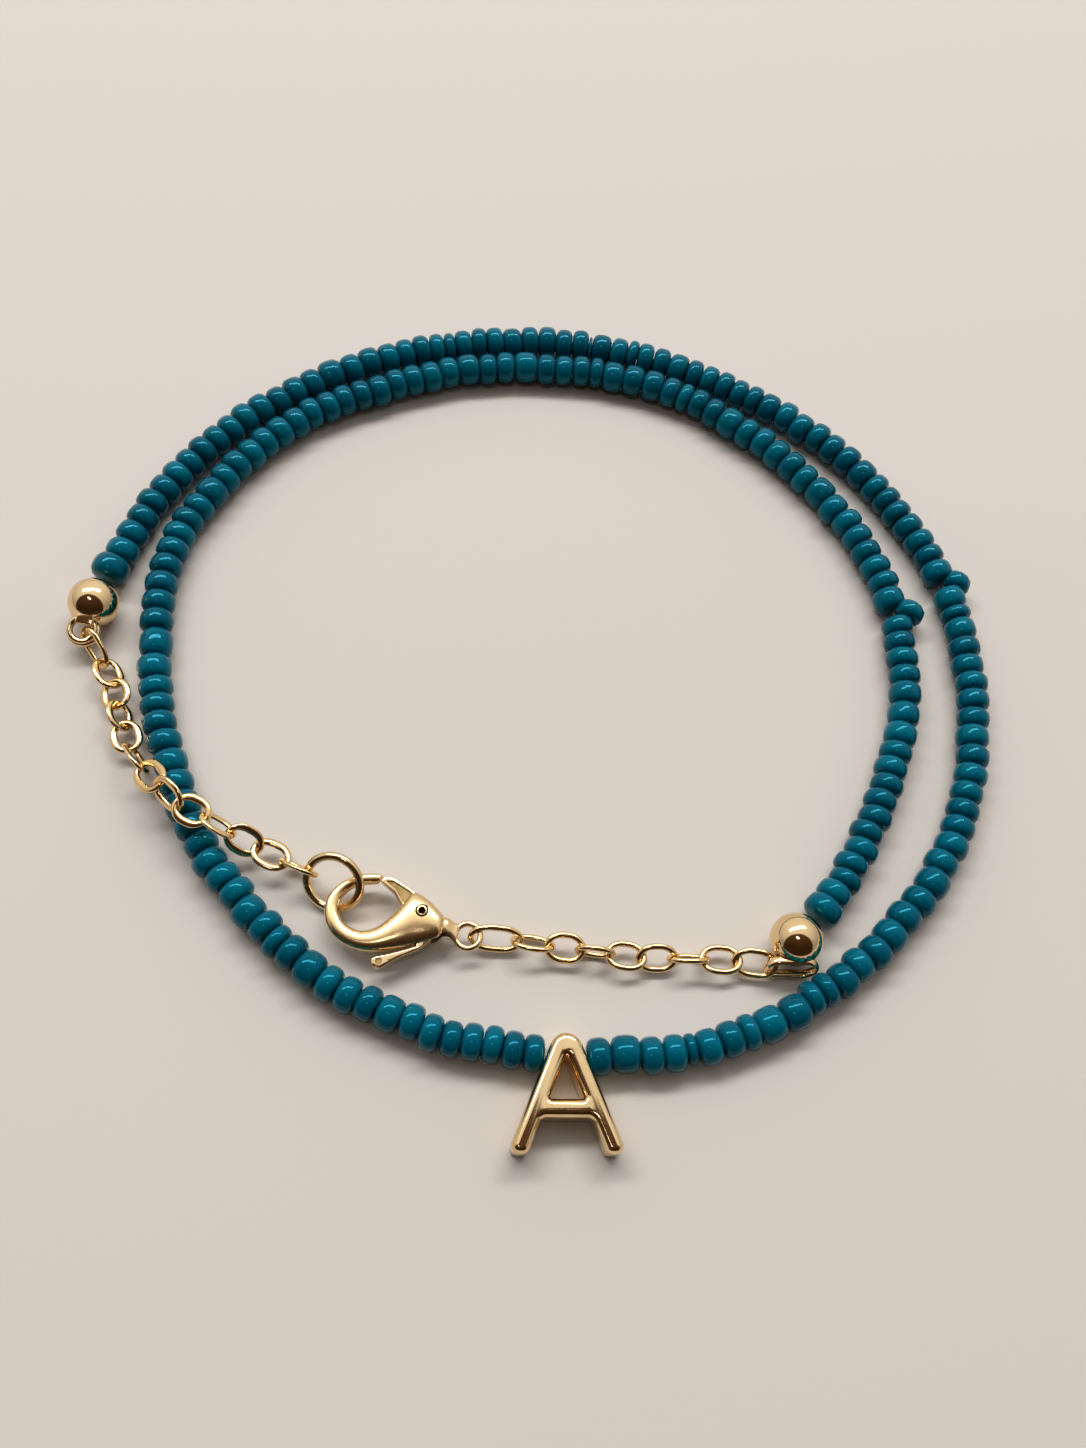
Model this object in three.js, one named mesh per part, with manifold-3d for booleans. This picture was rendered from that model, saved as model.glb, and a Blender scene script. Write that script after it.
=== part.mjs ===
// Beaded necklace lying in a double loop: seed beads on a thread, a letter pendant,
// two bead tips, cable chain, a jump ring and a lobster clasp. Millimetres, +Z up, z 0 is the table.
import * as THREE from 'three';
import { mergeVertices } from 'three/addons/utils/BufferGeometryUtils.js';
import Module from 'manifold-3d';

const wasm = await Module();
wasm.setup();

// ---- driving dimensions ----

const bead = {
  halfWidth: 1.46,
  halfHeight: 1.42,
  sides: 6,
  neck: 0.68, // share of the bead's size that is left where two beads meet
  shoulder: 0.22, // share of the bead's length that its rounded end takes
  halfGap: 0.15, // taken off each end of a run
  pushedOut: 1.2, // how far a bead that sits askew stands out of line
};

// share of the usual bead length, and of the usual size across, for each kind of bead
const beadKinds = {
  n: { length: 1.0, size: 1.0 }, // normal
  w: { length: 1.2, size: 1.0 }, // wide
  W: { length: 1.5, size: 1.0 }, // widest
  t: { length: 0.72, size: 0.98 }, // thin
  s: { length: 0.5, size: 0.88 }, // small
  i: { length: 0.22, size: 0.85 }, // sliver
  o: { length: 0.55, size: 0.95 }, // askew, pushed out of line
  L: { length: 1.22, size: 1.12 }, // large bead beside a bead tip
};

// Each row is a point between two beads on the thread, and the beads from there to the next row.
const strandA = {
  name: 'bead_run_a',
  runs: 12,
  rows: [
    { x: -38.02, y: 8.75, beads: 'Lnnnn' },
    { x: -34.2, y: 17.6, beads: 'nnnnn' },
    { x: -29.15, y: 24.8, beads: 'nnnnn' },
    { x: -22.1, y: 30.7, beads: 'nwnnn' },
    { x: -13.4, y: 35.2, beads: 'nnntn' },
    { x: -6.2, y: 37.1, beads: 'nnwnw' },
    { x: 2.2, y: 37.8, beads: 'nniwn' },
    { x: 9.3, y: 36.8, beads: 'tnnwn' },
    { x: 16.7, y: 34.3, beads: 'nnnnw' },
    { x: 24.0, y: 30.3, beads: 'nnnnn' },
    { x: 31.0, y: 24.1, beads: 'wnnnw' },
    { x: 35.9, y: 16.6, beads: 'nnwow' },
    { x: 38.5, y: 8.6, beads: 'twnnn' },
    { x: 39.0, y: 0.1, beads: 'nnnnn' },
    { x: 37.3, y: -8.9, beads: 'nnnwn' },
    { x: 33.4, y: -16.9, beads: 'wnnnn' },
    { x: 26.5, y: -24.3, beads: 'nnttw' },
    { x: 19.1, y: -29.1, beads: 'wtnns' },
    { x: 11.3, y: -31.7, beads: 'nnwn' },
    { x: 3.6, y: -32.2, beads: '' },
  ],
};

const strandB = {
  name: 'bead_run_b',
  runs: 13,
  rows: [
    { x: 0.3, y: -32.1, beads: 'nnnnn' },
    { x: -7.5, y: -30.6, beads: 'nnwnn' },
    { x: -15.5, y: -27.1, beads: 'nwntn' },
    { x: -22.1, y: -21.8, beads: 'wnnnn' },
    { x: -27.6, y: -14.9, beads: 'nwnwn' },
    { x: -31.3, y: -5.9, beads: 'nnnwW' },
    { x: -32.9, y: 3.7, beads: 'nnnnn' },
    { x: -32.3, y: 12.8, beads: 'nnnwn' },
    { x: -28.1, y: 20.65, beads: 'nnnnn' },
    { x: -21.9, y: 27.2, beads: 'nnnnn' },
    { x: -14.15, y: 31.3, beads: 'nnnnw' },
    { x: -5.4, y: 34.05, beads: 'nnwnn' },
    { x: 3.8, y: 34.4, beads: 'ntwww' },
    { x: 12.7, y: 32.6, beads: 'ntnnw' },
    { x: 20.1, y: 28.2, beads: 'nnnnn' },
    { x: 26.6, y: 21.9, beads: 'wnnnn' },
    { x: 31.4, y: 13.6, beads: 'nnwon' },
    { x: 33.1, y: 5.7, beads: 'nnnww' },
    { x: 32.1, y: -3.4, beads: 'wnnnn' },
    { x: 29.0, y: -11.4, beads: 'nnnnn' },
    { x: 25.0, y: -18.3, beads: 'nL' },
    { x: 22.75, y: -21.08, beads: '' },
  ],
};

const link = { width: 2.5, wire: 0.4, slack: 0.12, sides: 4, steps: 8 };

// Each row is where two links hook, and how the link from there to the next row is rolled, in degrees.
const chainLeft = {
  name: 'chain_link_left',
  rows: [
    { x: -38.6, y: 3.05, z: 1.9, roll: 62, slack: 0.3 },
    { x: -37.0, y: 0.7, z: 1.15, roll: -32 },
    { x: -35.9, y: -1.3, z: 1.1, roll: 15 },
    { x: -35.3, y: -3.3, z: 1.2, roll: -48 },
    { x: -34.65, y: -5.2, z: 1.1, roll: 0 },
    { x: -33.8, y: -7.2, z: 1.2, roll: -70 },
    { x: -32.35, y: -9.45, z: 2.3, roll: 16 },
    { x: -30.66, y: -11.27, z: 3.42, roll: 56 },
    { x: -28.8, y: -13.05, z: 3.7, roll: 6 },
    { x: -26.66, y: -14.1, z: 3.65, roll: -50 },
    { x: -24.62, y: -15.05, z: 2.75, roll: 36 },
    { x: -22.65, y: -15.85, z: 1.55, roll: -11 },
    { x: -20.4, y: -16.92, z: 1.4, roll: -70 },
    { x: -18.1, y: -18.13, z: 2.12 },
  ],
};

const chainRight = {
  name: 'chain_link_right',
  rows: [
    { x: -5.0, y: -22.9, z: 1.4, roll: 49, slack: 0.5 },
    { x: -1.8, y: -23.1, z: 1.2, roll: -49 },
    { x: 0.9, y: -23.5, z: 1.2, roll: 20 },
    { x: 3.3, y: -23.8, z: 1.25, roll: 90 },
    { x: 5.7, y: -24.1, z: 1.25, roll: -6 },
    { x: 8.2, y: -24.4, z: 1.2, roll: 40 },
    { x: 10.7, y: -24.4, z: 1.2, roll: -65 },
    { x: 13.3, y: -24.4, z: 1.2, roll: -5 },
    { x: 15.95, y: -24.52, z: 1.2, roll: 34, slack: 0.16 },
    { x: 18.75, y: -24.95, z: 1.3 },
  ],
};

const jumpRing = {
  centre: [-16.4, -18.8, 2.05],
  radius: 2.25, // of the wire's centre line
  wire: 0.72,
  tilt: 45, // degrees
  uphill: 67.5, // compass of the high side, degrees from +X
};

const tip = { radius: 2.15, threadHole: 0.55 };
const tipLeft = { ball: [-38.3, 5.95, 2.15], thread: [0.35, 0.94, 0] };
const tipRight = { ball: [20.67, -22.97, 2.15], thread: [0.65, 0.76, 0] };

const clasp = {
  rivet: [-9.3, -21.2, 1.65],
  turn: -7.5, // degrees, from +X to the eyelet
  hookThick: 1.2,
  headThick: 2.4,
  slotHigh: 1.24,
  leverThick: 1.0,
  hookEdge: 0.2, // rounded edges
  headEdge: 0.3,
  rivetShaft: 0.3,
  rivetHead: 0.475,
  eyelet: { x: 3.85, y: -1.21, radius: 1.0, wire: 0.5 },
};

const pendant = {
  place: [1.95, -31.85, 0],
  turn: -0.3,
  thick: 3.0,
  edge: 0.35,
  apex: 1.3, // radius of the rounded top, and half the width beside the thread
  threadHole: 0.35,
};

// ---- materials ----

const teal = () => new THREE.MeshStandardMaterial({ color: 0x00606f, roughness: 0.15, metalness: 0.0 });
const gold = () => new THREE.MeshStandardMaterial({ color: 0xe8c47c, roughness: 0.12, metalness: 1.0 });

const necklace = new THREE.Group();

function addMesh(name, geometry, material) {
  const mesh = new THREE.Mesh(geometry, material);
  mesh.name = name;
  necklace.add(mesh);
}

const numbered = (name, index) => `${name}_${String(index + 1).padStart(2, '0')}`;

// ---- solids: join and cut ----

function toSolid(geometry) {
  const bare = geometry.clone();
  bare.deleteAttribute('normal');
  bare.deleteAttribute('uv');
  const merged = mergeVertices(bare, 1e-4);
  const mesh = new wasm.Mesh({
    numProp: 3,
    vertProperties: new Float32Array(merged.attributes.position.array),
    triVerts: new Uint32Array(merged.index.array),
  });
  mesh.merge();
  return new wasm.Manifold(mesh);
}

function toGeometry(solid) {
  const mesh = solid.getMesh();
  const geometry = new THREE.BufferGeometry();
  geometry.setAttribute('position', new THREE.BufferAttribute(new Float32Array(mesh.vertProperties), 3));
  geometry.setIndex(new THREE.BufferAttribute(new Uint32Array(mesh.triVerts), 1));
  geometry.computeVertexNormals();
  return geometry;
}

// ---- beads ----

// a repeatable number from -0.5 to 0.5 for bead i
function wobble(i, k) {
  const s = Math.sin(i * 12.9898 + k * 78.233) * 43758.5453;
  return s - Math.floor(s) - 0.5;
}

// Lays a strand's beads along its route: where each begins and ends, and how it sits.
function layBeads(strand, firstIndex) {
  const points = strand.rows.map((row) => new THREE.Vector3(row.x, row.y, 0));
  const route = new THREE.CatmullRomCurve3(points, false, 'centripetal');
  const spans = points.length - 1;
  const beads = [];
  strand.rows.forEach((row, span) => {
    const kinds = [...row.beads].map((letter) => beadKinds[letter]);
    const lengths = kinds.map((kind, k) => {
      const i = firstIndex + beads.length + k;
      return kind.length * (1 + 0.1 * wobble(i, 1));
    });
    const total = lengths.reduce((sum, length) => sum + length, 0);
    let start = 0;
    [...row.beads].forEach((letter, k) => {
      const i = firstIndex + beads.length;
      const end = start + lengths[k] / total;
      beads.push({
        letter,
        start: (span + start) / spans,
        end: (span + end) / spans,
        size: Math.min(kinds[k].size * (1 + 0.06 * wobble(i, 3)), Math.max(kinds[k].size, 1)),
        side: 0.3 * wobble(i, 2),
      });
      start = end;
    });
  });
  return { route, beads };
}

// A closed tube of beads through six-sided rings, a corner to each side and a flat on top and below:
// rings = [{ centre, along, size }], where size is a share of the bead's own.
function ringTube(rings) {
  const tube = new THREE.CylinderGeometry(1, 1, 1, bead.sides, rings.length - 1, false);
  const position = tube.attributes.position;
  const up = new THREE.Vector3(0, 0, 1);
  const flat = Math.cos(Math.PI / bead.sides);
  for (let v = 0; v < position.count; v += 1) {
    const ring = rings[Math.round((0.5 - position.getY(v)) * (rings.length - 1))];
    const side = new THREE.Vector3().crossVectors(up, ring.along).normalize();
    const point = ring.centre.clone();
    point.addScaledVector(side, -position.getZ(v) * ring.size * bead.halfWidth);
    point.addScaledVector(up, (position.getX(v) * ring.size * bead.halfHeight) / flat);
    position.setXYZ(v, point.x, point.y, point.z);
  }
  return tube;
}

function buildStrand(strand, firstIndex) {
  const { route, beads } = layBeads(strand, firstIndex);
  const ringAt = (t, size, offset) => {
    const along = route.getTangent(t).normalize();
    const outward = new THREE.Vector3(-along.y, along.x, 0);
    const centre = route.getPoint(t).addScaledVector(outward, offset);
    centre.z = bead.halfHeight * Math.max(size, 1);
    return { centre, along, size };
  };
  // distance along the route as a share of the curve's own parameter
  const shareOf = (distance, t) => {
    const step = 1e-3;
    const a = route.getPoint(Math.max(t - step, 0));
    const b = route.getPoint(Math.min(t + step, 1));
    return (distance * (Math.min(t + step, 1) - Math.max(t - step, 0))) / a.distanceTo(b);
  };
  for (let run = 0; run < strand.runs; run += 1) {
    const first = Math.round((run * beads.length) / strand.runs);
    const last = Math.round(((run + 1) * beads.length) / strand.runs);
    const rings = [];
    beads.slice(first, last).forEach((one, k, group) => {
      const gap = shareOf(bead.halfGap, one.start);
      const start = k === 0 ? one.start + gap : one.start;
      const end = k === group.length - 1 ? one.end - gap : one.end;
      const span = end - start;
      const askew = one.letter === 'o' ? bead.pushedOut : 0;
      rings.push(ringAt(start, bead.neck, 0));
      rings.push(ringAt(start + span * bead.shoulder, one.size, one.side + askew));
      rings.push(ringAt(end - span * bead.shoulder, one.size, one.side + askew));
      if (k === group.length - 1) {
        rings.push(ringAt(end, bead.neck, 0));
      }
    });
    addMesh(numbered(strand.name, run), ringTube(rings), teal());
  }
  return beads.length;
}

const beadsOnA = buildStrand(strandA, 0);
buildStrand(strandB, beadsOnA);

// ---- chain ----

// An oval ring of round wire: a torus turned to have a flat at each side and end, whose two halves
// are drawn apart along its length.
function ovalRing(length, width, wire, sides, steps) {
  const ring = new THREE.TorusGeometry((width - wire) / 2, wire / 2, sides, steps);
  const halfStep = Math.PI / steps;
  ring.rotateZ(halfStep);
  ring.scale(1 / Math.cos(halfStep), 1 / Math.cos(halfStep), 1);
  const position = ring.attributes.position;
  const half = (length - width) / 2;
  for (let v = 0; v < position.count; v += 1) {
    const x = position.getX(v);
    position.setX(v, x + Math.sign(x) * half);
  }
  return ring;
}

// Turns and moves a link that lies along X so that it runs from one hooking point to the next.
function placeAlong(geometry, from, to, rollDegrees) {
  const along = new THREE.Vector3().subVectors(to, from).normalize();
  const side = new THREE.Vector3().crossVectors(new THREE.Vector3(0, 0, 1), along).normalize();
  const normal = new THREE.Vector3().crossVectors(along, side);
  const roll = THREE.MathUtils.degToRad(rollDegrees);
  const across = side.clone().multiplyScalar(Math.cos(roll)).addScaledVector(normal, Math.sin(roll));
  const facing = new THREE.Vector3().crossVectors(along, across);
  const place = new THREE.Matrix4().makeBasis(along, across, facing);
  place.setPosition(new THREE.Vector3().addVectors(from, to).multiplyScalar(0.5));
  return geometry.applyMatrix4(place);
}

function buildChain(chain) {
  const points = chain.rows.map((row) => new THREE.Vector3(row.x, row.y, row.z));
  for (let i = 0; i + 1 < points.length; i += 1) {
    const slack = chain.rows[i].slack ?? link.slack;
    const length = points[i].distanceTo(points[i + 1]) + 2 * link.wire + slack;
    const oval = ovalRing(length, link.width, link.wire, link.sides, link.steps);
    addMesh(numbered(chain.name, i), placeAlong(oval, points[i], points[i + 1], chain.rows[i].roll), gold());
  }
}

buildChain(chainLeft);
buildChain(chainRight);

// ---- jump ring ----

function buildJumpRing() {
  const ring = new THREE.TorusGeometry(jumpRing.radius, jumpRing.wire / 2, 5, 14);
  ring.rotateY(-THREE.MathUtils.degToRad(jumpRing.tilt));
  ring.rotateZ(THREE.MathUtils.degToRad(jumpRing.uphill));
  ring.translate(...jumpRing.centre);
  addMesh('jump_ring', ring, gold());
}

buildJumpRing();

// ---- bead tips ----

function tipBall(place) {
  const ball = new THREE.SphereGeometry(tip.radius, 12, 8);
  ball.rotateX(Math.PI / 2);
  ball.translate(...place.ball);
  const drill = new THREE.CylinderGeometry(tip.threadHole, tip.threadHole, tip.radius, 8);
  const toThread = new THREE.Vector3(...place.thread).normalize();
  drill.applyQuaternion(new THREE.Quaternion().setFromUnitVectors(new THREE.Vector3(0, 1, 0), toThread));
  drill.translate(...new THREE.Vector3(...place.ball).addScaledVector(toThread, tip.radius * 0.9));
  return toSolid(ball).subtract(toSolid(drill));
}

// A loop of flat strip: a lathed ring with chamfered corners.
function stripLoop(radius, thick, wide, steps) {
  const [inner, outer] = [radius - thick / 2, radius + thick / 2];
  const chamfer = Math.min(thick, wide) * 0.25;
  const section = [
    [inner, chamfer - wide / 2],
    [inner + chamfer, -wide / 2],
    [outer - chamfer, -wide / 2],
    [outer, chamfer - wide / 2],
    [outer, wide / 2 - chamfer],
    [outer - chamfer, wide / 2],
    [inner + chamfer, wide / 2],
    [inner, wide / 2 - chamfer],
    [inner, chamfer - wide / 2],
  ].map(([x, y]) => new THREE.Vector2(x, y));
  return new THREE.LatheGeometry(section, steps);
}

function buildTipLeft() {
  const loop = stripLoop(1.12, 0.6, 0.95, 14);
  loop.rotateX(Math.PI / 2);
  loop.rotateX(THREE.MathUtils.degToRad(15));
  loop.translate(-38.93, 3.3, 2.0);
  const strap = new THREE.BoxGeometry(1.5, 1.3, 0.8);
  strap.rotateZ(THREE.MathUtils.degToRad(-14));
  strap.translate(-38.65, 4.5, 2.2);
  addMesh('bead_tip_left', toGeometry(tipBall(tipLeft).add(toSolid(loop)).add(toSolid(strap))), gold());
}

function buildTipRight() {
  const loop = stripLoop(0.9, 0.4, 0.75, 14);
  const position = loop.attributes.position;
  for (let v = 0; v < position.count; v += 1) {
    const x = position.getX(v);
    position.setX(v, Math.abs(x) < 1e-6 ? x : x + Math.sign(x) * 1.15);
  }
  loop.translate(20.22, -24.95, 1.3);
  const strap = new THREE.BoxGeometry(1.2, 0.8, 0.4);
  strap.rotateY(THREE.MathUtils.degToRad(-14));
  strap.translate(19.8, -24.5, 2.55);
  addMesh('bead_tip_right', toGeometry(tipBall(tipRight).add(toSolid(loop)).add(toSolid(strap))), gold());
}

buildTipLeft();
buildTipRight();

// ---- clasp ----

const vectors = (pairs) => pairs.map(([x, y]) => new THREE.Vector2(x, y));

// an outline extruded about the mid-plane with rounded edges
function slab(shape, thick, edge, curveSegments) {
  const rounded = edge > 0;
  const slabGeometry = new THREE.ExtrudeGeometry(shape, {
    depth: thick - 2 * edge,
    steps: 1,
    curveSegments,
    bevelEnabled: rounded,
    bevelThickness: edge,
    bevelSize: edge,
    bevelOffset: -edge,
    bevelSegments: 1,
  });
  slabGeometry.translate(0, 0, edge - thick / 2);
  return slabGeometry;
}

function hookShape() {
  const shape = new THREE.Shape();
  shape.moveTo(-3.6, 2.6);
  shape.splineThru(vectors([[-5.0, 2.6], [-6.4, 2.0], [-7.5, 1.0], [-7.85, -0.4], [-7.4, -2.0],
    [-6.3, -3.1], [-4.5, -3.65], [-2.4, -3.5], [0.25, -2.6]]));
  shape.lineTo(0.6, -0.6);
  shape.lineTo(-1.5, 0.6);
  shape.splineThru(vectors([[-2.4, -0.65], [-3.3, -1.7], [-4.5, -2.15], [-5.7, -1.8], [-6.5, -0.85],
    [-6.5, 0.5], [-5.9, 1.35], [-4.9, 1.85], [-3.8, 2.1]]));
  shape.closePath();
  return shape;
}

function headShape() {
  const shape = new THREE.Shape();
  shape.moveTo(-0.95, 1.75);
  shape.splineThru(vectors([[0.5, 1.05], [1.45, 0.1], [1.75, -0.8], [1.6, -1.75]]));
  shape.splineThru(vectors([[0.3, -2.6], [-1.2, -3.2], [-2.7, -3.5]]));
  shape.lineTo(-3.3, -1.9);
  shape.splineThru(vectors([[-2.4, -0.65], [-1.75, 0.4], [-0.95, 1.75]]));
  return shape;
}

function leverShape() {
  const shape = new THREE.Shape();
  shape.moveTo(-3.62, 2.13);
  shape.lineTo(-3.38, 2.5);
  shape.lineTo(-2.7, 2.45);
  shape.lineTo(-0.85, 1.6);
  shape.absarc(0, 0, 0.8, 1.04, -0.9, true);
  shape.lineTo(1.05, -2.0);
  shape.splineThru(vectors([[0.3, -2.85], [-1.15, -3.68], [-1.9, -4.3]]));
  shape.absarc(-2.8, -4.4, 0.5, -0.79, -3.6, true);
  shape.splineThru(vectors([[-2.3, -3.75], [-1.2, -3.3], [0.05, -2.75]]));
  shape.lineTo(-0.6, -0.8);
  shape.lineTo(-1.85, 0.6);
  shape.lineTo(-2.45, 1.4);
  shape.closePath();
  return shape;
}

// the room in the head's mid-plane that the lever needs through its whole swing
function slotShape() {
  const shape = new THREE.Shape();
  shape.moveTo(-2.6, 2.6);
  shape.lineTo(0.9, 1.4);
  shape.absarc(0, 0, 0.95, 0.9, -0.2, true);
  shape.lineTo(2.15, -1.3);
  shape.lineTo(2.4, -2.4);
  shape.lineTo(-1.5, -4.4);
  shape.lineTo(-3.2, -4.2);
  shape.lineTo(-2.9, -3.55);
  shape.lineTo(-1.2, -3.02);
  shape.lineTo(-0.2, -2.5);
  shape.lineTo(-0.75, -1.0);
  shape.lineTo(-2.6, -0.5);
  shape.closePath();
  return shape;
}

function rod(radius, length, sides) {
  const cylinder = new THREE.CylinderGeometry(radius, radius, length, sides);
  return cylinder.rotateX(Math.PI / 2);
}

function placeClasp(geometry) {
  geometry.rotateZ(THREE.MathUtils.degToRad(clasp.turn));
  return geometry.translate(...clasp.rivet);
}

function buildClasp() {
  const { eyelet } = clasp;
  const hook = toSolid(slab(hookShape(), clasp.hookThick, clasp.hookEdge, 2));
  const head = toSolid(slab(headShape(), clasp.headThick, clasp.headEdge, 2));
  const ring = new THREE.TorusGeometry(eyelet.radius, eyelet.wire / 2, 5, 12);
  ring.translate(eyelet.x, eyelet.y, 0);
  const neck = new THREE.BoxGeometry(1.9, 1.15, 0.9);
  neck.rotateZ(THREE.MathUtils.degToRad(-12));
  neck.translate(2.1, -0.8, 0);
  const slot = toSolid(slab(slotShape(), clasp.slotHigh, 0, 3));
  const shaftHole = toSolid(rod(clasp.rivetShaft + 0.1, clasp.headThick + 1, 10));
  const headRoom = rod(clasp.rivetHead + 0.1, 0.3, 12);
  const sunk = clasp.headThick / 2 - 0.1;
  let body = hook.add(head).add(toSolid(neck)).add(toSolid(ring)).subtract(slot).subtract(shaftHole);
  body = body.subtract(toSolid(headRoom.clone().translate(0, 0, sunk)));
  body = body.subtract(toSolid(headRoom.clone().translate(0, 0, -sunk)));
  addMesh('clasp_body', placeClasp(toGeometry(body)), gold());

  const lever = toSolid(slab(leverShape(), clasp.leverThick, 0.08, 3)).subtract(shaftHole);
  addMesh('clasp_lever', placeClasp(toGeometry(lever)), gold());

  const top = clasp.headThick / 2;
  const under = top - 0.14;
  const profile = vectors([[0, -top], [clasp.rivetHead, -top], [clasp.rivetHead, -under],
    [clasp.rivetShaft, -under], [clasp.rivetShaft, under], [clasp.rivetHead, under],
    [clasp.rivetHead, top], [0, top]]);
  const rivet = new THREE.LatheGeometry(profile, 10).rotateX(Math.PI / 2);
  addMesh('clasp_rivet', placeClasp(rivet), gold());
}

buildClasp();

// ---- pendant ----

function letterShape() {
  const shape = new THREE.Shape();
  const { apex } = pendant;
  shape.moveTo(2.9, -7.58);
  shape.lineTo(3.85, -7.58);
  shape.lineTo(4.27, -7.15);
  shape.absarc(0, -0.02, apex, 0.13, Math.PI - 0.13, false);
  shape.lineTo(-4.27, -7.15);
  shape.lineTo(-3.85, -7.58);
  shape.lineTo(-2.9, -7.58);
  shape.lineTo(-2.03, -5.4);
  shape.quadraticCurveTo(-1.87, -5.0, -1.4, -5.0);
  shape.lineTo(1.4, -5.0);
  shape.quadraticCurveTo(1.87, -5.0, 2.03, -5.4);
  shape.closePath();
  const counter = new THREE.Path();
  counter.moveTo(0, -0.44);
  counter.lineTo(-1.3, -3.65);
  counter.lineTo(1.3, -3.65);
  counter.closePath();
  shape.holes.push(counter);
  return shape;
}

function buildPendant() {
  const letter = toSolid(slab(letterShape(), pendant.thick, pendant.edge, 3));
  const drill = new THREE.CylinderGeometry(pendant.threadHole, pendant.threadHole, 6, 8);
  drill.rotateZ(Math.PI / 2);
  drill.translate(0, 0.1, 0);
  const geometry = toGeometry(letter.subtract(toSolid(drill)));
  geometry.translate(0, 0, pendant.thick / 2);
  geometry.rotateZ(THREE.MathUtils.degToRad(pendant.turn));
  geometry.translate(...pendant.place);
  addMesh('pendant', geometry, gold());
}

buildPendant();

export default necklace;
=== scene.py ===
import math

import bpy
from mathutils import Matrix, Vector


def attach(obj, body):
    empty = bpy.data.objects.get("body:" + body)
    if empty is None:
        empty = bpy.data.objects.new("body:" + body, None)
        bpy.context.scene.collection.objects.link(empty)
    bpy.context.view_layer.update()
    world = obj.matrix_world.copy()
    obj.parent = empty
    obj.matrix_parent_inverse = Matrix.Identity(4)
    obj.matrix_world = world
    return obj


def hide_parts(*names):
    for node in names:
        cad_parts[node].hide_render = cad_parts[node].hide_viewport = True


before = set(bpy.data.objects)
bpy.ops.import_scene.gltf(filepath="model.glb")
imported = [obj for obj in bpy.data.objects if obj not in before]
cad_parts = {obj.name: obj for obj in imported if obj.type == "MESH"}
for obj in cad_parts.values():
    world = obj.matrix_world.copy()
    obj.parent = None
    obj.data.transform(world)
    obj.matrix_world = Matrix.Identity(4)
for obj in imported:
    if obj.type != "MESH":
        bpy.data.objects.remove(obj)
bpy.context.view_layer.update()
metre = 0.001  # pieces are modelled in millimetres and finished in metres
squareOn = 0.9  # a face looks along an axis where its normal has at least this share of it


# ---- small helpers ----

def selectOnly(*objs):
    if bpy.context.object and bpy.context.object.mode != "OBJECT":
        bpy.ops.object.mode_set(mode="OBJECT")
    bpy.ops.object.select_all(action="DESELECT")
    for obj in objs:
        obj.select_set(True)
    if objs:
        bpy.context.view_layer.objects.active = objs[0]


def applyPlace(obj):
    selectOnly(obj)
    bpy.ops.object.transform_apply(location=True, rotation=True, scale=True)


def pickFaces(obj, test):
    # goes into edit mode with only the faces that pass the test selected
    selectOnly(obj)
    bpy.ops.object.mode_set(mode="EDIT")
    bpy.ops.mesh.select_mode(type="FACE")
    bpy.ops.mesh.select_all(action="DESELECT")
    bpy.ops.object.mode_set(mode="OBJECT")
    for face in obj.data.polygons:
        face.select = test(face.center, face.normal)
    bpy.ops.object.mode_set(mode="EDIT")


def applyModifier(obj, kind, **settings):
    selectOnly(obj)
    modifier = obj.modifiers.new(kind.lower(), kind)
    for key, value in settings.items():
        setattr(modifier, key, value)
    bpy.ops.object.modifier_apply(modifier=modifier.name)


def joined(objs):
    selectOnly(*objs)
    bpy.ops.object.join()
    return bpy.context.object


def copyOf(template, place):
    # a copy with its own mesh, put in place by a matrix
    copy = bpy.data.objects.new(template.name, template.data.copy())
    copy.data.transform(place)
    bpy.context.scene.collection.objects.link(copy)
    return copy


def finishPiece(obj, name, body, nodes, material, angle=None):
    # puts the place into the mesh, turns millimetres to metres, and ties the piece to the frame
    applyPlace(obj)
    obj.data.transform(Matrix.Scale(metre, 4))
    obj.name = name
    obj.data.name = name
    obj.data.materials.clear()
    obj.data.materials.append(material)
    selectOnly(obj)
    if angle is None:
        bpy.ops.object.shade_smooth()
    else:
        bpy.ops.object.shade_smooth_by_angle(angle=math.radians(angle))
    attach(obj, body)
    if nodes:
        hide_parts(*nodes)


def wobble(i, k):
    # a repeatable number from -0.5 to 0.5 for bead i
    s = math.sin(i * 12.9898 + k * 78.233) * 43758.5453
    return s - math.floor(s) - 0.5


# ---- camera ----

cameraSettings = {
    "place": (-8.094, -50.583, 100.45),  # mm
    "forward": (0.07846, 0.42330, -0.90259),
    "right": (0.98163, -0.19081),  # shares of the level right and the level down axis
    "lens": 31.82,
    "sensor": 36,
    "nearest": 2,
    "farthest": 10000,
}


def makeCamera():
    data = bpy.data.cameras.new("camera")
    data.lens = cameraSettings["lens"]
    data.sensor_width = cameraSettings["sensor"]
    data.clip_start = cameraSettings["nearest"] * metre
    data.clip_end = cameraSettings["farthest"] * metre
    camera = bpy.data.objects.new("camera", data)
    bpy.context.scene.collection.objects.link(camera)
    forward = Vector(cameraSettings["forward"]).normalized()
    levelRight = forward.cross(Vector((0, 0, 1))).normalized()
    levelDown = forward.cross(levelRight)
    a, b = cameraSettings["right"]
    right = (levelRight * a + levelDown * b).normalized()
    up = right.cross(forward)
    turn = Matrix((right, up, -forward)).transposed().to_4x4()
    camera.matrix_world = Matrix.Translation(Vector(cameraSettings["place"]) * metre) @ turn
    bpy.context.scene.camera = camera


makeCamera()
print("camera made")


# ---- materials ----

def newMaterial(name):
    material = bpy.data.materials.new(name)
    material.use_nodes = True
    nodes = material.node_tree.nodes
    return material, nodes, material.node_tree.links, nodes["Principled BSDF"]


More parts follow.
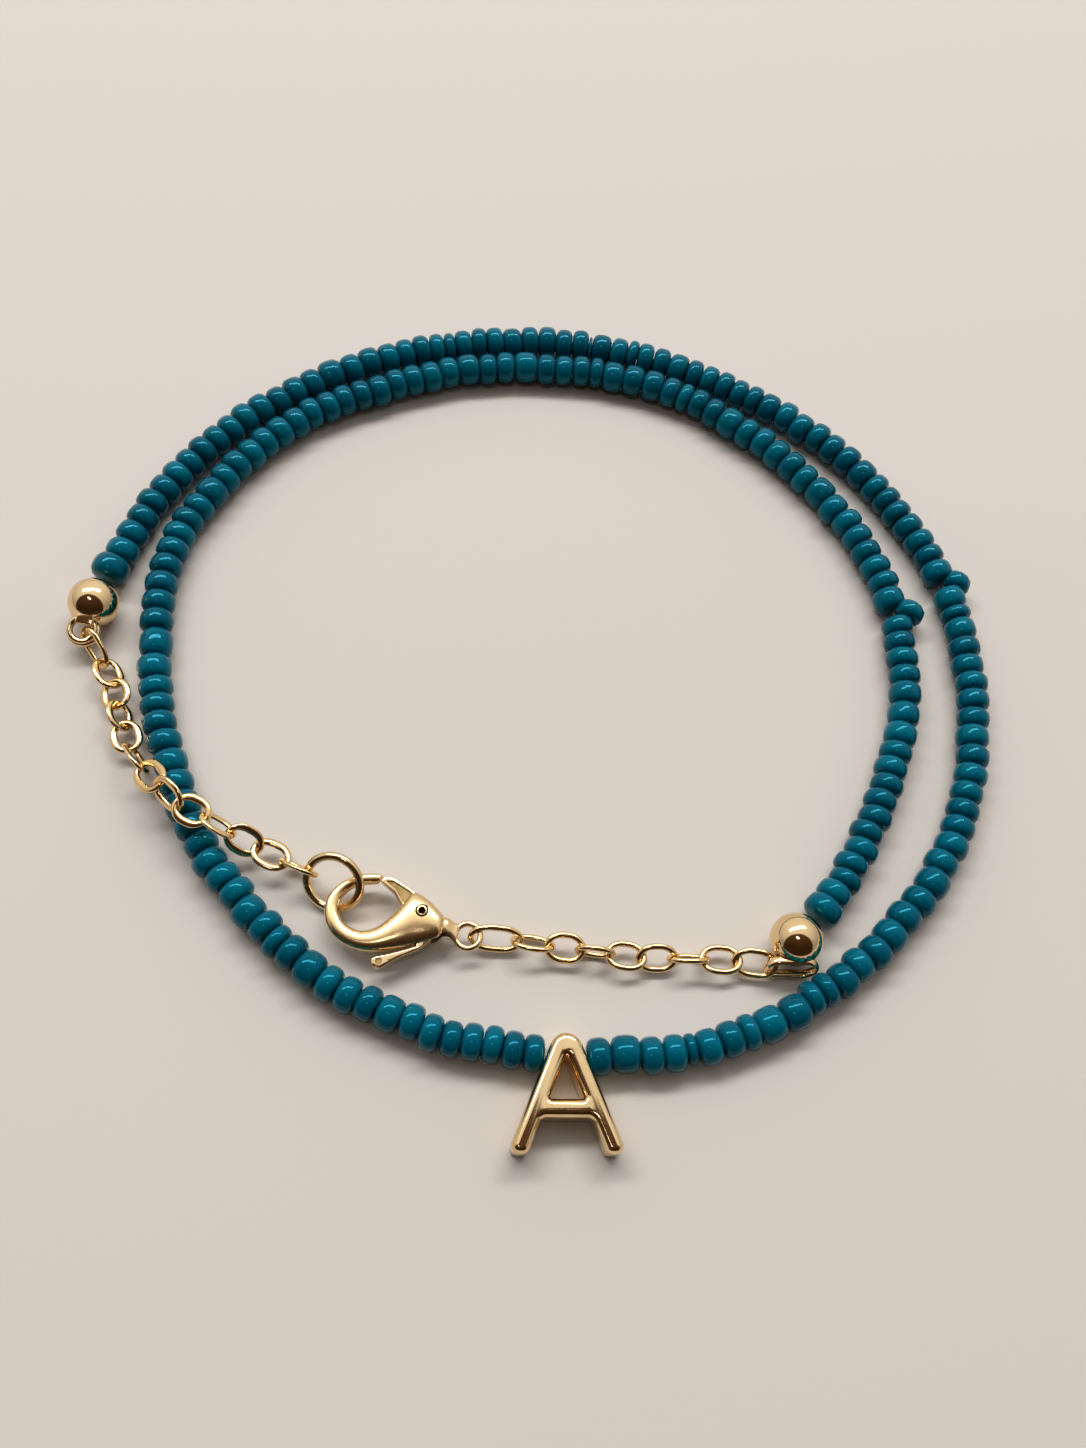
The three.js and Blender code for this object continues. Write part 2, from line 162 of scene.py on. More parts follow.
def makeMottle():
    # uneven glass or plating: a value around 0 to 1, and a fine height
    group = bpy.data.node_groups.new("mottle", "ShaderNodeTree")
    group.interface.new_socket("Patch size", in_out="INPUT", socket_type="NodeSocketFloat")
    group.interface.new_socket("Grain size", in_out="INPUT", socket_type="NodeSocketFloat")
    group.interface.new_socket("Patches", in_out="OUTPUT", socket_type="NodeSocketFloat")
    group.interface.new_socket("Grain", in_out="OUTPUT", socket_type="NodeSocketFloat")
    nodes, links = group.nodes, group.links
    start = nodes.new("NodeGroupInput")
    end = nodes.new("NodeGroupOutput")
    place = nodes.new("ShaderNodeTexCoord")
    for socket, output, detail in (("Patch size", "Patches", 2), ("Grain size", "Grain", 4)):
        noise = nodes.new("ShaderNodeTexNoise")
        noise.inputs["Detail"].default_value = detail
        scale = nodes.new("ShaderNodeMath")
        scale.operation = "DIVIDE"
        scale.inputs[0].default_value = 1
        links.new(start.outputs[socket], scale.inputs[1])
        links.new(scale.outputs[0], noise.inputs["Scale"])
        links.new(place.outputs["Object"], noise.inputs["Vector"])
        links.new(noise.outputs["Fac"], end.inputs[output])
    return group


mottle = makeMottle()


def addMottle(nodes, patch, grain):
    node = nodes.new("ShaderNodeGroup")
    node.node_tree = mottle
    node.inputs["Patch size"].default_value = patch
    node.inputs["Grain size"].default_value = grain
    return node


def ramp(nodes, links, source, stops):
    node = nodes.new("ShaderNodeValToRGB")
    elements = node.color_ramp.elements
    while len(elements) < len(stops):
        elements.new(0.5)
    for element, (position, colour) in zip(elements, stops):
        element.position = position
        element.color = colour if len(colour) == 4 else (*colour, 1)
    links.new(source, node.inputs["Fac"])
    return node


def grey(value):
    return (value, value, value)


def addBump(nodes, links, shader, height, strength, distance):
    bump = nodes.new("ShaderNodeBump")
    bump.inputs["Strength"].default_value = strength
    bump.inputs["Distance"].default_value = distance
    links.new(height, bump.inputs["Height"])
    links.new(bump.outputs["Normal"], shader.inputs["Normal"])


# sizes of patches, grain and bumps are in metres
glass = {
    "shades": [(0.2, (0.000, 0.058, 0.094)), (0.5, (0.000, 0.078, 0.123)), (0.8, (0.000, 0.100, 0.151))],
    "patch": 0.0016,
    "grain": 0.0003,
    "toneShare": 0.5,  # of the bead's own tone, and of the patches in it
    "roughness": (0.04, 0.09),
    "bump": 0.03,
    "bumpHeight": 0.00003,
    "ior": 1.4,
    "tint": (0.08, 0.75, 1.0, 1),
}
plating = {"patch": 0.0012, "grain": 0.00012, "bumpHeight": 0.00002}
fibre = {
    "shades": [(0.3, (0.004, 0.010, 0.012)), (0.7, (0.012, 0.03, 0.035))],
    "patch": 0.0008,
    "grain": 0.0001,
    "roughness": 0.7,
}


def makeBeadGlass():
    material, nodes, links, shader = newMaterial("teal bead glass")
    uneven = addMottle(nodes, glass["patch"], glass["grain"])
    tone = nodes.new("ShaderNodeAttribute")
    tone.attribute_name = "tone"
    mix = nodes.new("ShaderNodeMath")
    mix.operation = "MULTIPLY_ADD"
    mix.inputs[1].default_value = glass["toneShare"]
    links.new(uneven.outputs["Patches"], mix.inputs[0])
    half = nodes.new("ShaderNodeMath")
    half.operation = "MULTIPLY"
    half.inputs[1].default_value = glass["toneShare"]
    links.new(tone.outputs["Fac"], half.inputs[0])
    links.new(half.outputs[0], mix.inputs[2])
    colour = ramp(nodes, links, mix.outputs[0], glass["shades"])
    links.new(colour.outputs["Color"], shader.inputs["Base Color"])
    low, high = glass["roughness"]
    rough = ramp(nodes, links, uneven.outputs["Grain"], [(0.3, grey(low)), (0.7, grey(high))])
    links.new(rough.outputs["Color"], shader.inputs["Roughness"])
    addBump(nodes, links, shader, uneven.outputs["Patches"], glass["bump"], glass["bumpHeight"])
    shader.inputs["IOR"].default_value = glass["ior"]
    shader.inputs["Specular Tint"].default_value = glass["tint"]
    return material


def makeGold(name, low, high, roughness, bump):
    material, nodes, links, shader = newMaterial(name)
    uneven = addMottle(nodes, plating["patch"], plating["grain"])
    colour = ramp(nodes, links, uneven.outputs["Patches"], [(0.3, low), (0.7, high)])
    links.new(colour.outputs["Color"], shader.inputs["Base Color"])
    smooth, rough = roughness
    spread = ramp(nodes, links, uneven.outputs["Grain"], [(0.3, grey(smooth)), (0.7, grey(rough))])
    links.new(spread.outputs["Color"], shader.inputs["Roughness"])
    shader.inputs["Metallic"].default_value = 1
    addBump(nodes, links, shader, uneven.outputs["Grain"], bump, plating["bumpHeight"])
    return material


def makeThreadFibre():
    material, nodes, links, shader = newMaterial("dark thread")
    uneven = addMottle(nodes, fibre["patch"], fibre["grain"])
    colour = ramp(nodes, links, uneven.outputs["Grain"], fibre["shades"])
    links.new(colour.outputs["Color"], shader.inputs["Base Color"])
    shader.inputs["Roughness"].default_value = fibre["roughness"]
    return material


beadGlass = makeBeadGlass()
polishedGold = makeGold(
    "polished gold", (0.79, 0.565, 0.29), (0.87, 0.645, 0.37), roughness=(0.06, 0.12), bump=0.05)
chainGold = makeGold(
    "chain gold", (0.80, 0.54, 0.24), (0.86, 0.60, 0.29), roughness=(0.12, 0.16), bump=0.02)
claspGold = makeGold(
    "satin gold", (0.79, 0.56, 0.27), (0.87, 0.64, 0.35), roughness=(0.2, 0.27), bump=0.08)
# brushed gold, its colour darkened to paint the shade of the lever's sunk fields
brushedGoldPaintedShade = makeGold(
    "brushed gold with painted shade", (0.16, 0.105, 0.04), (0.30, 0.205, 0.085), roughness=(0.36, 0.5), bump=0.9)
# a dark gold that paints the shade in the rivet's gap and hole
paintedWellShade = makeGold(
    "painted well shade", (0.05, 0.035, 0.015), (0.10, 0.07, 0.03), roughness=(0.5, 0.7), bump=0.6)
threadFibre = makeThreadFibre()
print("materials made")


# ---- outlines, plates and drawn-out bodies ----

def smoothRow(points, steps):
    # a smooth row of points through the given ones, without the last
    at = curveThrough([Vector((x, y, 0)) for x, y in points])
    return [at(span, k / steps) for span in range(len(points) - 1) for k in range(steps)]


def arcRow(centre, radius, start, end, steps=16):
    # angles in degrees, without the last point
    row = []
    for k in range(steps):
        angle = math.radians(start + (end - start) * k / steps)
        x, y = centre[0] + radius * math.cos(angle), centre[1] + radius * math.sin(angle)
        row.append(Vector((x, y, 0)))
    return row


def straightRow(points, steps):
    row = []
    for (x0, y0), (x1, y1) in zip(points[:-1], points[1:]):
        for k in range(steps):
            row.append(Vector((x0 + (x1 - x0) * k / steps, y0 + (y1 - y0) * k / steps, 0)))
    return row


def roundCorners(corners, steps):
    # a closed outline from corner points, each with the radius it is rounded to: (x, y, radius)
    row = []
    for k, (x, y, radius) in enumerate(corners):
        corner = Vector((x, y, 0))
        before = (Vector((*corners[k - 1][:2], 0)) - corner).normalized()
        after = (Vector((*corners[(k + 1) % len(corners)][:2], 0)) - corner).normalized()
        half = before.angle(after) / 2
        centre = corner + (before + after).normalized() * radius / math.sin(half)
        start = corner + before * radius / math.tan(half) - centre
        end = corner + after * radius / math.tan(half) - centre
        sweep = math.atan2(start.cross(end).z, start.dot(end))
        row += [centre + Matrix.Rotation(sweep * j / steps, 3, "Z") @ start for j in range(steps + 1)]
    return row


def flatPlate(name, outlines, thick):
    # a filled outline, with any holes, given a thickness about z 0
    data = bpy.data.curves.new(name, "CURVE")
    data.dimensions = "2D"
    data.fill_mode = "BOTH"
    data.extrude = thick / 2
    for outline in outlines:
        spline = data.splines.new("POLY")
        spline.points.add(len(outline) - 1)
        for point, place in zip(spline.points, outline):
            point.co = (place.x, place.y, 0, 1)
        spline.use_cyclic_u = True
    plate = bpy.data.objects.new(name, data)
    bpy.context.scene.collection.objects.link(plate)
    selectOnly(plate)
    bpy.ops.object.convert(target="MESH")
    plate = bpy.context.object
    closeUp(plate, 1e-4)
    bpy.ops.object.mode_set(mode="EDIT")
    bpy.ops.mesh.select_all(action="SELECT")
    bpy.ops.mesh.dissolve_limited(angle_limit=math.radians(0.5))
    bpy.ops.object.mode_set(mode="OBJECT")
    return plate


def closeUp(obj, reach):
    # merges doubles and turns the faces outwards
    selectOnly(obj)
    bpy.ops.object.mode_set(mode="EDIT")
    bpy.ops.mesh.select_all(action="SELECT")
    bpy.ops.mesh.remove_doubles(threshold=reach)
    bpy.ops.mesh.normals_make_consistent(inside=False)
    bpy.ops.object.mode_set(mode="OBJECT")


def stepIn(obj, side, steps):
    # insets the flat face on one side once for each step: (inwards, outwards)
    pickFaces(obj, lambda centre, normal: normal.z * side > squareOn)
    for inwards, outwards in steps:
        bpy.ops.mesh.inset(thickness=inwards, depth=outwards)
    bpy.ops.object.mode_set(mode="OBJECT")


def roundSteps(radius, count):
    steps = []
    for k in range(count):
        a, b = math.pi / 2 * k / count, math.pi / 2 * (k + 1) / count
        steps.append((radius * (math.cos(a) - math.cos(b)), radius * (math.sin(b) - math.sin(a))))
    return steps


def sectionPlace(outer, inner, thick):
    # carries a unit disc to a cross-section between two points of an outline
    across = Vector((outer[0] - inner[0], outer[1] - inner[1], 0)) / 2
    rise = Vector((0, 0, thick / 2))
    along = across.cross(rise).normalized()
    place = Matrix((across, rise, along)).transposed().to_4x4()
    place.translation = Vector(((outer[0] + inner[0]) / 2, (outer[1] + inner[1]) / 2, 0))
    return place


def drawOut(name, sides, power, places):
    # extrudes a rounded disc from each cross-section to the next
    bpy.ops.object.select_all(action="DESELECT")
    bpy.ops.mesh.primitive_circle_add(vertices=sides, radius=1, fill_type="NGON")
    body = bpy.context.object
    body.name = name
    for vertex in body.data.vertices:
        for axis in (0, 1):
            vertex.co[axis] = math.copysign(abs(vertex.co[axis]) ** (2 / power), vertex.co[axis])
    body.data.transform(places[0])
    for before, place in zip(places[:-1], places[1:]):
        bpy.ops.object.mode_set(mode="EDIT")
        bpy.ops.mesh.extrude_region_move()
        bpy.ops.object.mode_set(mode="OBJECT")
        turn = place @ before.inverted()
        for vertex in body.data.vertices:
            if vertex.select:
                vertex.co = turn @ vertex.co
    closeUp(body, 1e-5)
    return body


def cut(obj, tool, operation="DIFFERENCE"):
    applyPlace(tool)
    applyModifier(obj, "BOOLEAN", object=tool, operation=operation, solver="EXACT")
    bpy.data.objects.remove(tool)


def rod(radius, length, sides=40, place=(0, 0, 0), turn=(0, 0, 0)):
    bpy.ops.object.select_all(action="DESELECT")
    bpy.ops.mesh.primitive_cylinder_add(
        vertices=sides, radius=radius, depth=length, location=place, rotation=turn)
    return bpy.context.object


def ringOf(radius, wire, around, wireSides, place=(0, 0, 0)):
    bpy.ops.object.select_all(action="DESELECT")
    bpy.ops.mesh.primitive_torus_add(
        location=place, major_radius=radius, minor_radius=wire / 2,
        major_segments=around, minor_segments=wireSides)
    return bpy.context.object


def wireAlong(name, points, wire, resolution=4):
    # round wire through a row of points, with closed ends
    data = bpy.data.curves.new(name, "CURVE")
    data.dimensions = "3D"
    data.bevel_depth = wire / 2
    data.bevel_resolution = resolution
    data.use_fill_caps = True
    spline = data.splines.new("POLY")
    spline.points.add(len(points) - 1)
    for point, place in zip(spline.points, points):
        point.co = (*place, 1)
    obj = bpy.data.objects.new(name, data)
    bpy.context.scene.collection.objects.link(obj)
    selectOnly(obj)
    bpy.ops.object.convert(target="MESH")
    closeUp(bpy.context.object, 1e-5)
    return bpy.context.object


# ---- beads ----

beadShape = {
    "sides": 12,
    "radius": 1.47,
    "belly": 0.18,  # share of the length that is straight
    "shoulders": [(0.18, 0.965), (0.15, 0.865), (0.08, 0.7)],  # step along, share of the last radius
    "gap": 0.02,  # mm between beads
    "thread": 0.44,
}

# how much one bead differs from the next
beadSpread = {
    "length": 0.1,
    "size": 0.06,
    "side": 0.3,  # mm out of line
    "spin": 6,  # radians
    "swing": 9,  # degrees
    "nod": 5,  # degrees
}

# a bead that sits askew: its length, how far it stands out and up, and its turn in degrees
askew = {"length": 1.55, "out": 1.35, "up": 0.1, "turn": -40}

# share of the usual bead length, and of the usual size across
beadKinds = {
    "n": (1.0, 1.0), "w": (1.2, 1.0), "W": (1.5, 1.0), "t": (0.72, 0.98),
    "s": (0.5, 0.88), "i": (0.22, 0.85), "o": (0.55, 0.95), "L": (1.22, 1.12),
}

# a point between two beads on the thread, and the beads from there to the next point
strandA = {
    "name": "A", "node": "bead_run_a", "runs": 12,
    "rows": [
        (-38.02, 8.75, "Lnnnn"), (-34.2, 17.6, "nnnnn"), (-29.15, 24.8, "nnnnn"), (-22.1, 30.7, "nwnnn"),
        (-13.4, 35.2, "nnntn"), (-6.2, 37.1, "nnwnw"), (2.2, 37.8, "nniwn"), (9.3, 36.8, "tnnwn"),
        (16.7, 34.3, "nnnnw"), (24.0, 30.3, "nnnnn"), (31.0, 24.1, "wnnnw"), (35.9, 16.6, "nnwow"),
        (38.5, 8.6, "twnnn"), (39.0, 0.1, "nnnnn"), (37.3, -8.9, "nnnwn"), (33.4, -16.9, "wnnnn"),
        (26.5, -24.3, "nnttw"), (19.1, -29.1, "wtnns"), (11.3, -31.7, "nnwn"), (3.6, -32.2, ""),
    ],
}
strandB = {
    "name": "B", "node": "bead_run_b", "runs": 13,
    "rows": [
        (0.3, -32.1, "nnnnn"), (-7.5, -30.6, "nnwnn"), (-15.5, -27.1, "nwntn"), (-22.1, -21.8, "wnnnn"),
        (-27.6, -14.9, "nwnwn"), (-31.3, -5.9, "nnnwW"), (-32.9, 3.7, "nnnnn"), (-32.3, 12.8, "nnnwn"),
        (-28.1, 20.65, "nnnnn"), (-21.9, 27.2, "nnnnn"), (-14.15, 31.3, "nnnnw"), (-5.4, 34.05, "nnwnn"),
        (3.8, 34.4, "ntwww"), (12.7, 32.6, "ntnnw"), (20.1, 28.2, "nnnnn"), (26.6, 21.9, "wnnnn"),
        (31.4, 13.6, "nnwon"), (33.1, 5.7, "nnnww"), (32.1, -3.4, "wnnnn"), (29.0, -11.4, "nnnnn"),
        (25.0, -18.3, "nL"), (22.75, -21.08, ""),
    ],
}


def makeBead():
    bpy.ops.object.select_all(action="DESELECT")
    bpy.ops.mesh.primitive_cylinder_add(
        vertices=beadShape["sides"], radius=1, depth=beadShape["belly"], rotation=(0, math.pi / 2, 0))
    bead = bpy.context.object
    bead.name = "bead"
    applyPlace(bead)
    for side in (-1, 1):
        pickFaces(bead, lambda centre, normal: normal.x * side > squareOn)
        for step, share in beadShape["shoulders"]:
            bpy.ops.mesh.extrude_region_move(TRANSFORM_OT_translate={"value": (side * step, 0, 0)})
            bpy.ops.transform.resize(value=(1, share, share))
        bpy.ops.object.mode_set(mode="OBJECT")
    bead.data.attributes.new("tone", "FLOAT", "POINT")
    return bead


def curveThrough(points):
    # centripetal Catmull-Rom; returns a function of (span, share of the span)
    ends = [points[0] * 2 - points[1], *points, points[-1] * 2 - points[-2]]

    def at(span, share):
        p = ends[span:span + 4]
        steps = [max((p[k + 1] - p[k]).length, 1e-6) ** 0.5 for k in range(3)]
        a, b, c = steps
        leave = ((p[1] - p[0]) / a - (p[2] - p[0]) / (a + b) + (p[2] - p[1]) / b) * b
        arrive = ((p[2] - p[1]) / b - (p[3] - p[1]) / (b + c) + (p[3] - p[2]) / c) * b
        t = share
        return (p[1] + leave * t + (-3 * p[1] + 3 * p[2] - 2 * leave - arrive) * t * t
                + (2 * p[1] - 2 * p[2] + leave + arrive) * t ** 3)

    return at


def layBeads(strand, first):
    points = [Vector((x, y, 0)) for x, y, _ in strand["rows"]]
    at = curveThrough(points)
    beads = []
    for span, (_, _, letters) in enumerate(strand["rows"]):
        if not letters:
            continue
        lengths = [beadKinds[letter][0] * (1 + beadSpread["length"] * wobble(first + len(beads) + k, 1))
                   for k, letter in enumerate(letters)]
        total, start = sum(lengths), 0
        for k, letter in enumerate(letters):
            i = first + len(beads)
            end = start + lengths[k] / total
            size = beadKinds[letter][1]
            beads.append({
                "letter": letter, "index": i, "from": at(span, start), "to": at(span, end),
                "size": min(size * (1 + beadSpread["size"] * wobble(i, 3)), max(size, 1)),
                "side": beadSpread["side"] * wobble(i, 2),
            })
            start = end
    return beads


def beadPlace(one):
    along = one["to"] - one["from"]
    length = along.length - beadShape["gap"]
    along.normalize()
    outward = Vector((-along.y, along.x, 0))
    radius = beadShape["radius"] * one["size"]
    centre = (one["from"] + one["to"]) / 2 + outward * one["side"]
    centre.z = radius
    i = one["index"]
    spin = Matrix.Rotation(wobble(i, 5) * beadSpread["spin"], 4, "X")
    tilt = Matrix.Rotation(math.radians(beadSpread["swing"] * wobble(i, 6)), 4, "Z")
    tilt = tilt @ Matrix.Rotation(math.radians(beadSpread["nod"] * wobble(i, 7)), 4, "Y")
    if one["letter"] == "o":
        length = askew["length"]
        centre += outward * askew["out"]
        centre.z += askew["up"]
        tilt = Matrix.Rotation(math.radians(askew["turn"]), 4, "Z")
    turn = Matrix((along, outward, (0, 0, 1))).transposed().to_4x4()
    scale = Matrix.Diagonal((length, radius, radius, 1))
    return Matrix.Translation(centre) @ turn @ tilt @ spin @ scale


def makeStrand(strand, template, first):
    beads = layBeads(strand, first)
    for run in range(strand["runs"]):
        start = math.floor(run * len(beads) / strand["runs"] + 0.5)
        end = math.floor((run + 1) * len(beads) / strand["runs"] + 0.5)
        copies = []
        for one in beads[start:end]:
            copy = copyOf(template, beadPlace(one))
            for point in copy.data.attributes["tone"].data:
                point.value = 0.5 + wobble(one["index"], 4)
            copies.append(copy)
        finishPiece(joined(copies), f"beads{strand['name']}{run + 1:02d}", "necklace",
                    [f"{strand['node']}_{run + 1:02d}"], beadGlass)
    return beads


def makeThread(name, beads):
    places = [beads[0]["from"]] + [one["to"] for one in beads]
    middle = [(place.x, place.y, beadShape["radius"]) for place in places]
    thread = wireAlong(name, middle, beadShape["thread"], resolution=2)
    finishPiece(thread, name, "necklace", [], threadFibre)


bead = makeBead()
beadsA = makeStrand(strandA, bead, 0)
beadsB = makeStrand(strandB, bead, len(beadsA))
makeThread("threadA", beadsA)
makeThread("threadB", beadsB)
bpy.data.objects.remove(bead)
print("beads strung", len(beadsA), len(beadsB))


# ---- chain ----

linkShape = {
    "width": 2.5,
    "wire": 0.48,
    "reach": 0.42,  # past the place where two links hook
    "slack": 0.12,
    "straight": 0.35,  # share of what the long side has over a circle
    "around": 48,
    "wireSides": 16,
}

# where two links hook, x y z, the roll of the link to the next row in degrees, and extra slack
chainLeft = {
    "name": "linkLeft", "node": "chain_link_left", "flattened": 0.4,
    "rows": [
        (-38.6, 3.05, 1.9, 62, 0.3), (-37.0, 0.7, 1.15, -32), (-35.9, -1.3, 1.1, 15),
        (-35.3, -3.3, 1.2, -48), (-34.65, -5.2, 1.1, 0), (-33.8, -7.2, 1.2, -70),
        (-32.35, -9.45, 2.3, 16), (-30.66, -11.27, 3.4, 56),
        (-28.8, -13.05, 3.67, 6), (-26.66, -14.1, 3.65, -50), (-24.62, -15.05, 2.75, 36),
        (-22.65, -15.85, 1.55, -11), (-20.4, -16.92, 1.4, -70), (-18.1, -18.13, 2.12),
    ],
}
chainRight = {
    "name": "linkRight", "node": "chain_link_right", "flattened": 0.06,
    "rows": [
        (-5.0, -22.9, 1.4, 49, 0.5), (-1.8, -23.1, 1.2, -49), (0.9, -23.5, 1.2, 20),
        (3.3, -23.8, 1.27, 90), (5.7, -24.1, 1.27, -6), (8.2, -24.4, 1.2, 40),
        (10.7, -24.4, 1.2, -65), (13.3, -24.4, 1.2, -5),
        (15.95, -24.52, 1.2, 34, 0.16), (18.75, -24.95, 1.3),
    ],
}


def makeOval(length, flattened):
    # a ring of round wire drawn out to an oval, its long sides pressed a little flat
    wire = linkShape["wire"]
    middle = (linkShape["width"] - wire) / 2
    oval = ringOf(middle, wire, linkShape["around"], linkShape["wireSides"])
    half = (length - wire) / 2
    straight = (half - middle) * linkShape["straight"]
    for vertex in oval.data.vertices:
        x, y, z = vertex.co
        c, s = x / math.hypot(x, y), y / math.hypot(x, y)
        outwards = (math.hypot(x, y) - middle) * (1 + flattened * s * s)
        z *= 1 - flattened * s * s / 2
        facing = Vector((middle * c, (half - straight) * s, 0)).normalized()
        shift = 0 if abs(c) < 1e-4 else math.copysign(straight, c)
        vertex.co = (Vector(((half - straight) * c + shift, middle * s, z)) + facing * outwards)
    return oval


def alongPlace(start, end, roll):
    along = (end - start).normalized()
    side = Vector((0, 0, 1)).cross(along).normalized()
    normal = along.cross(side)
    angle = math.radians(roll)
    across = side * math.cos(angle) + normal * math.sin(angle)
    turn = Matrix((along, across, along.cross(across))).transposed().to_4x4()
    return Matrix.Translation((start + end) / 2) @ turn


def makeChain(chain):
    rows = chain["rows"]
    for i in range(len(rows) - 1):
        start, end = Vector(rows[i][:3]), Vector(rows[i + 1][:3])
        slack = rows[i][4] if len(rows[i]) > 4 else linkShape["slack"]
        length = (end - start).length + 2 * linkShape["reach"] + slack
        oval = makeOval(length, chain["flattened"])
        oval.data.transform(alongPlace(start, end, rows[i][3]))
        finishPiece(oval, f"{chain['name']}{i + 1:02d}", "necklace", [f"{chain['node']}_{i + 1:02d}"],
                    chainGold)


makeChain(chainLeft)
makeChain(chainRight)
print("chains linked")


# ---- jump ring ----

jumpRing = {
    "centre": (-16.4, -18.8, 2.05),
    "radius": 2.25,
    "wire": 0.72,
    "tilt": 45,
    "uphill": 67.5,
    "seam": 1.4,  # degrees left open where the ends meet
    "seamAt": 118,
    "around": 80,
}


def makeJumpRing():
    radius, seam, steps = jumpRing["radius"], math.radians(jumpRing["seam"]), jumpRing["around"]
    angles = [seam / 2 + (2 * math.pi - seam) * k / steps for k in range(steps + 1)]
    circle = [(radius * math.cos(angle), radius * math.sin(angle), 0) for angle in angles]
    ring = wireAlong("ring", circle, jumpRing["wire"])
    place = Matrix.Translation(jumpRing["centre"])
    place = place @ Matrix.Rotation(math.radians(jumpRing["uphill"]), 4, "Z")
    place = place @ Matrix.Rotation(-math.radians(jumpRing["tilt"]), 4, "Y")
    place = place @ Matrix.Rotation(math.radians(jumpRing["seamAt"]), 4, "Z")
    ring.data.transform(place)
    finishPiece(ring, "jumpRing", "necklace", ["jump_ring"], polishedGold, angle=40)


makeJumpRing()
print("jump ring made")


# ---- bead tips ----

tipShape = {
    "radius": 2.15,
    "threadHole": 0.55,
    # the rolled lip of the hole, step by step: outwards, share of the last radius, share of the height
    "lip": [(0.06, 0.9, 1), (-0.05, 0.8, 0)],
    "holeDepth": 0.9,
    "strapRounding": 0.38,  # share of the strap's thickness
}
tipLeft = {
    "ball": (-38.3, 5.95, 2.15), "thread": (0.35, 0.94, 0),
    "loop": (-38.93, 3.3, 2.0), "loopRadii": (0.93, 1.21), "wire": 0.53,
    "loopTilt": 15, "turns": 2.0, "loopStart": 60, "pitch": 0.9, "steps": 72,
    "strap": (-38.55, 3.95, 2.98), "strapSize": (1.5, 1.15, 0.36), "strapTurn": (14, 0, -10),
}
tipRight = {
    "ball": (20.67, -22.97, 2.15), "thread": (0.65, 0.76, 0),
    "loop": (20.22, -25.08, 1.5), "loopRadius": 1.08, "wire": 0.42,
    "width": 0.75, "stretch": 0.97, "lean": 14,
    "strap": (19.75, -24.55, 2.6), "strapSize": (1.3, 0.95, 0.4), "strapTurn": (22, -14, 0),
}


def makeTipBall(tip):
    bpy.ops.object.select_all(action="DESELECT")
    thread = Vector(tip["thread"]).normalized()
    bpy.ops.mesh.primitive_uv_sphere_add(segments=64, ring_count=32, radius=tipShape["radius"])
    ball = bpy.context.object
    # the hole for the thread is stepped in at the pole
    cap = math.cos(math.asin(tipShape["threadHole"] / tipShape["radius"]))
    pickFaces(ball, lambda centre, normal: normal.z > cap)
    for outwards, share, height in tipShape["lip"]:
        bpy.ops.mesh.extrude_region_move(TRANSFORM_OT_translate={"value": (0, 0, outwards)})
        bpy.ops.transform.resize(value=(share, share, height))
    bpy.ops.mesh.extrude_region_move(TRANSFORM_OT_translate={"value": (0, 0, -tipShape["holeDepth"])})
    bpy.ops.object.mode_set(mode="OBJECT")
    turn = Vector((0, 0, 1)).rotation_difference(thread).to_matrix().to_4x4()
    ball.data.transform(Matrix.Translation(tip["ball"]) @ turn)
    return ball


def makeStrap(tip):
    bpy.ops.object.select_all(action="DESELECT")
    turn = [math.radians(angle) for angle in tip["strapTurn"]]
    bpy.ops.mesh.primitive_cube_add(size=1, location=tip["strap"], rotation=turn)
    strap = bpy.context.object
    strap.scale = tip["strapSize"]
    applyPlace(strap)
    width = min(tip["strapSize"]) * tipShape["strapRounding"]
    applyModifier(strap, "BEVEL", width=width, segments=4, limit_method="NONE")
    return strap


def makeTipLeft():
    (small, large), wire = tipLeft["loopRadii"], tipLeft["wire"]
    steps, turns = tipLeft["steps"], tipLeft["turns"]
    coil = []
    for k in range(steps + 1):
        share = k / steps
        angle = math.radians(tipLeft["loopStart"]) + 2 * math.pi * turns * share
        radius = small + (large - small) * share
        height = wire * tipLeft["pitch"] * turns * (0.5 - share)
        coil.append((radius * math.cos(angle), radius * math.sin(angle), height))
    loop = wireAlong("coil", coil, wire)
    turn = Matrix.Rotation(math.radians(tipLeft["loopTilt"]), 4, "X")
    loop.data.transform(Matrix.Translation(tipLeft["loop"]) @ turn)
    tip = joined([makeTipBall(tipLeft), makeStrap(tipLeft), loop])
    finishPiece(tip, "tipLeft", "necklace", ["bead_tip_left"], polishedGold, angle=40)


def makeTipRight():
    # the loop is a flat strip bent to a long ring that stands on its edge
    loop = ringOf(tipRight["loopRadius"], tipRight["wire"], around=64, wireSides=20)
    widen = tipRight["width"] / tipRight["wire"]
    for vertex in loop.data.vertices:
        x, y, z = vertex.co
        stretch = math.copysign(tipRight["stretch"], x) if abs(x) > 1e-5 else 0
        vertex.co = (x + stretch, y, z * widen)
    turn = Matrix.Rotation(math.radians(90 - tipRight["lean"]), 4, "X")
    loop.data.transform(Matrix.Translation(tipRight["loop"]) @ turn)
    tip = joined([makeTipBall(tipRight), makeStrap(tipRight), loop])
    finishPiece(tip, "tipRight", "necklace", ["bead_tip_right"], polishedGold, angle=40)


makeTipLeft()
makeTipRight()
print("bead tips made")


# ---- clasp ----

